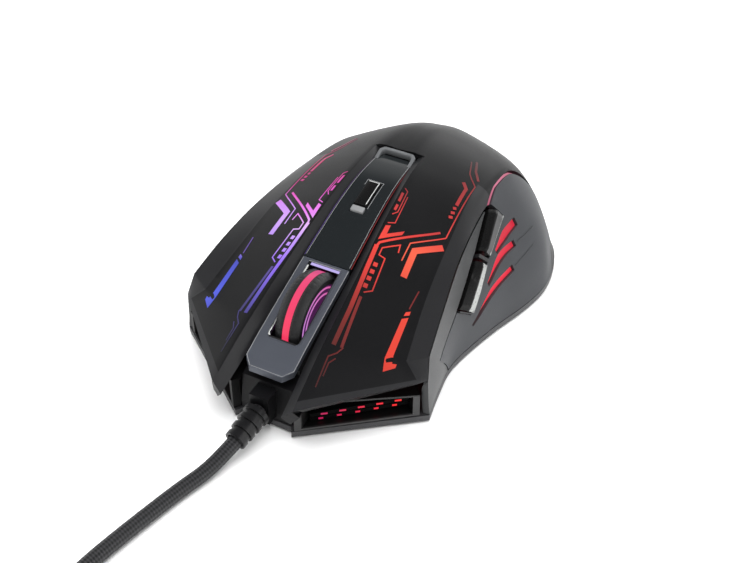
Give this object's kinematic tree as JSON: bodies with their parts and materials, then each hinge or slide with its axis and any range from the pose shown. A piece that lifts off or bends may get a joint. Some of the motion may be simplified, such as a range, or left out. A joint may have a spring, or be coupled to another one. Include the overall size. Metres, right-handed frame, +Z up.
{
  "type": "computer mouse",
  "caption": "Wired right-handed optical gaming mouse with winged main buttons, scroll wheel, mode button, two thumb buttons and lit covers.",
  "frame": {"origin": "middle of the body box, without the free cable, at the level of the feet", "axes": "+Z up, +Y towards the palm end, -Y towards the cable end, +X towards the thumb side"},
  "size_m": [0.0993, 0.2388, 0.0389],
  "materials": {
    "soft_touch_black": "satin",
    "satin_grey": "satin",
    "grip_grey": "matte",
    "gloss_black": "gloss",
    "satin_blue_grey": "satin",
    "silver_trim": "gloss",
    "white_trim": "gloss",
    "tyre_rubber": "matte",
    "light_ring": "gloss",
    "hub_clear": "gloss",
    "steel": "satin",
    "inner_black": "matte",
    "white_nylon": "satin",
    "board_green": "satin",
    "red_guide": "gloss",
    "light_guide": "gloss",
    "clear_lens": "gloss",
    "ptfe_black": "satin",
    "braid_black": "matte",
    "moulded_black": "satin"
  },
  "bodies": {
    "shell": {"base_plate": "inner_black", "front_chin": "inner_black", "left_intake_bezel": "satin_grey", "right_intake_bezel": "satin_grey", "left_intake_grille": "inner_black", "right_intake_grille": "inner_black", "palm_cover": "soft_touch_black", "left_side_rail": "satin_grey", "right_side_rail": "satin_grey", "thumb_grip": "grip_grey", "outer_grip": "grip_grey", "thumb_light_guide": "red_guide", "left_cover_light": "light_guide", "right_cover_light": "light_guide", "centre_strip": "gloss_black", "strip_end_cap": "silver_trim", "wheel_surround": "satin_blue_grey", "wheel_slot_trim": "white_trim", "dpi_cap": "silver_trim", "dpi_switch": "inner_black", "side_button_frame": "inner_black", "side_pcb": "board_green", "side_switches": "inner_black", "wheel_spring": "steel", "wheel_encoder": "inner_black", "wheel_switch": "inner_black", "chassis": "inner_black", "main_pcb": "board_green", "left_switch": "inner_black", "right_switch": "inner_black", "optical_sensor": "inner_black", "sensor_lens": "clear_lens", "controller_chip": "inner_black", "leds": "white_nylon", "steel_weight": "steel", "cable_connector": "white_nylon", "case_screws": "steel", "front_feet": "ptfe_black", "rear_foot": "ptfe_black", "strain_relief": "moulded_black", "cable": "braid_black", "cable_coil": "braid_black", "cable_tail": "braid_black", "cable_tie": "moulded_black", "usb_plug_body": "moulded_black", "usb_plug_shell": "steel"},
    "left_button": {"left_button": "soft_touch_black"},
    "right_button": {"right_button": "soft_touch_black"},
    "left_plunger": {"left_plunger": "white_nylon"},
    "right_plunger": {"right_plunger": "white_nylon"},
    "wheel_cradle": {"wheel_cradle": "inner_black"},
    "wheel": {"wheel_hub": "hub_clear", "wheel_tyre": "tyre_rubber", "wheel_light_ring": "light_ring", "wheel_axle": "steel"},
    "dpi_button": {"dpi_button": "gloss_black"},
    "forward_button": {"forward_button": "gloss_black", "forward_trim": "silver_trim"},
    "back_button": {"back_button": "gloss_black", "back_trim": "silver_trim"}
  },
  "joints": [
    {"name": "left_click", "type": "hinge", "parent": "shell", "child": "left_button", "pos_m": [0, 0.0035, 0.032], "axis": [1, 0, 0], "range_deg": [0, 0.5], "stiffness_Nm_per_rad": 3},
    {"name": "right_click", "type": "hinge", "parent": "shell", "child": "right_button", "pos_m": [0, 0.0035, 0.032], "axis": [1, 0, 0], "range_deg": [0, 0.5], "stiffness_Nm_per_rad": 3},
    {"name": "left_switch_press", "type": "slide", "parent": "shell", "child": "left_plunger", "axis": [0, 0, -1], "range_m": [0, 0.0004]},
    {"name": "right_switch_press", "type": "slide", "parent": "shell", "child": "right_plunger", "axis": [0, 0, -1], "range_m": [0, 0.0004]},
    {"name": "wheel_press", "type": "hinge", "parent": "shell", "child": "wheel_cradle", "pos_m": [0, -0.0162, 0.0115], "axis": [1, 0, 0], "range_deg": [0, 2], "stiffness_Nm_per_rad": 0.4},
    {"name": "wheel_spin", "type": "hinge", "parent": "wheel_cradle", "child": "wheel", "pos_m": [0, -0.0298, 0.0185], "axis": [1, 0, 0], "continuous": true},
    {"name": "dpi_press", "type": "slide", "parent": "shell", "child": "dpi_button", "axis": [0, 0, -1], "range_m": [0, 0.0005], "stiffness_N_per_m": 2000},
    {"name": "forward_press", "type": "slide", "parent": "shell", "child": "forward_button", "axis": [-0.9329, 0.0802, -0.3511], "range_m": [0, 0.0006], "stiffness_N_per_m": 1700},
    {"name": "back_press", "type": "slide", "parent": "shell", "child": "back_button", "axis": [-0.808, 0.015, -0.589], "range_m": [0, 0.0006], "stiffness_N_per_m": 1700}
  ],
  "couplings": [
    {"joint": "left_switch_press", "follows": "left_click", "m_per_rad": 0.0365},
    {"joint": "right_switch_press", "follows": "right_click", "m_per_rad": 0.0365}
  ]
}
